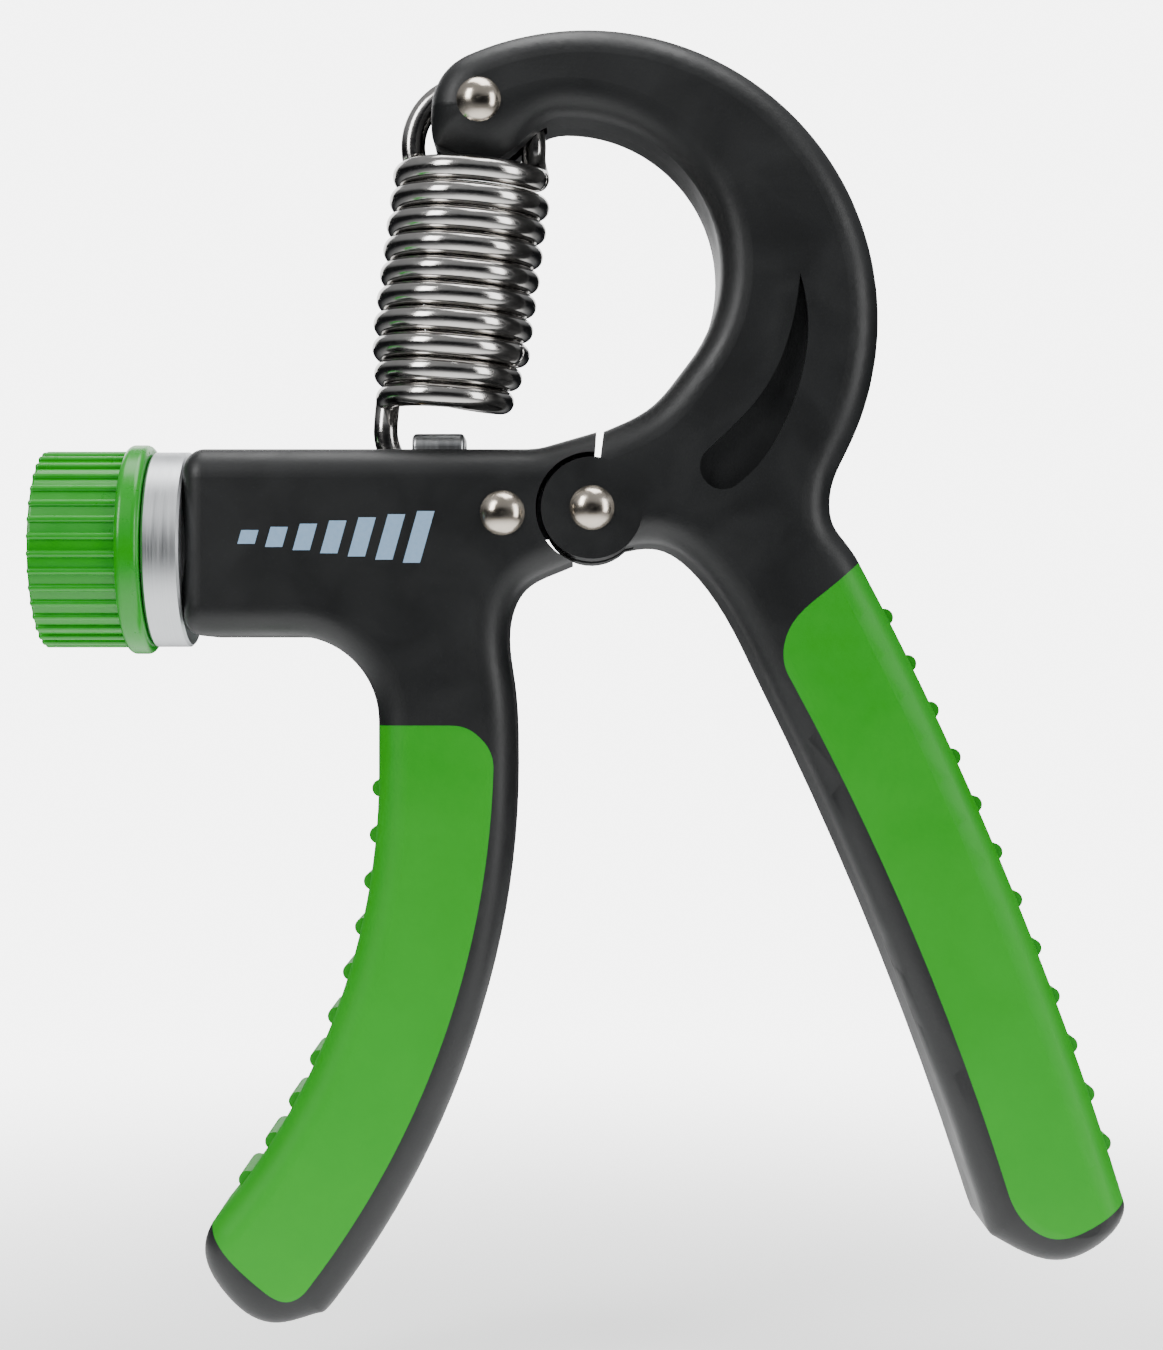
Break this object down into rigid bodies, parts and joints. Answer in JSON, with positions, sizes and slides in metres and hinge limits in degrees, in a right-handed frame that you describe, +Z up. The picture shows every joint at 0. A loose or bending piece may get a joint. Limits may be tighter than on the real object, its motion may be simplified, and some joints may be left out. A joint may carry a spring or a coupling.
{
  "type": "adjustable hand grip strengthener",
  "caption": "Hand exerciser: two hinged handles squeezed against an extension spring, with a knob and lead screw that set how hard it pulls.",
  "frame": {"origin": "centre of the whole grip in plan, at the height of the lower handle end", "axes": "+Z up the grip towards the curved arm, +X from the knob towards the straight handle, -Y the front side"},
  "size_m": [0.1278, 0.025, 0.152],
  "materials": {
    "black_nylon": "fine-grained moulded glass-filled nylon",
    "green_tpe": "satin over-moulded thermoplastic elastomer",
    "green_abs": "semi-gloss moulded ABS",
    "nickel": "polished nickel plate",
    "spring_wire": "polished nickel-plated spring wire",
    "steel_plate": "blanked and tumbled steel",
    "stainless": "satin stainless steel",
    "zinc_steel": "bright zinc plate",
    "spring_steel": "oiled black spring steel",
    "satin_aluminium": "satin turned aluminium",
    "brass": "sawn and drilled brass bar",
    "acetal": "natural acetal"
  },
  "bodies": {
    "left_body": {"left_frame": "black_nylon", "left_grip": "green_tpe", "pivot_tongue": "steel_plate", "tongue_rivet": "nickel", "tongue_rivet_back": "nickel", "end_collar": "satin_aluminium", "thrust_washer": "acetal"},
    "right_body": {"right_frame": "black_nylon", "right_grip": "green_tpe", "pivot_rivet": "nickel", "pivot_rivet_back": "nickel", "pivot_washers": "acetal", "spring_rivet": "nickel", "spring_rivet_back": "nickel"},
    "knob_body": {"knob": "green_abs", "adjusting_screw": "zinc_steel", "retaining_clip": "spring_steel"},
    "carriage": {"carriage_nut": "brass", "hook_bracket": "stainless"},
    "spring_top": {"spring_top_loop": "spring_wire"},
    "spring_middle": {"spring_coils": "spring_wire"},
    "spring_foot": {"spring_bottom_hook": "spring_wire"}
  },
  "joints": [
    {"name": "squeeze", "type": "hinge", "parent": "left_body", "child": "right_body", "pos_m": [0.00147, 0, 0.09541], "axis": [0, 1, 0], "range_deg": [0, 38], "stiffness_Nm_per_rad": 10, "springref_deg": -3.44},
    {"name": "carriage_slide", "type": "slide", "parent": "left_body", "child": "carriage", "axis": [1, 0, 0], "range_m": [-0.012, 0]},
    {"name": "knob_turn", "type": "hinge", "parent": "left_body", "child": "knob_body", "pos_m": [-0.04633, 0, 0.09101], "axis": [-1, 0, 0], "range_deg": [-2160.01, 0]},
    {"name": "spring_pin_turn", "type": "hinge", "parent": "right_body", "child": "spring_top", "pos_m": [-0.01173, 0, 0.14311], "axis": [0, 1, 0], "range_deg": [0, 16.68], "deforming": ["spring_top_loop"]},
    {"name": "spring_stretch", "type": "slide", "parent": "spring_top", "child": "spring_middle", "axis": [-0.1311, 0, -0.9914], "range_m": [0, 0.01349], "deforming": ["spring_coils"]},
    {"name": "spring_adjust_stretch", "type": "slide", "parent": "spring_middle", "child": "spring_foot", "axis": [-0.1311, 0, -0.9914], "range_m": [0, 0.00332], "deforming": ["spring_bottom_hook"]}
  ],
  "couplings": [
    {"joint": "knob_turn", "follows": "carriage_slide", "rad_per_m": 3141.6},
    {"joint": "spring_pin_turn", "follows": "carriage_slide", "rad_per_m": -24.26},
    {"joint": "spring_stretch", "follows": "squeeze", "m_per_rad": 0.020331},
    {"joint": "spring_adjust_stretch", "follows": "carriage_slide", "ratio": -0.27646}
  ]
}
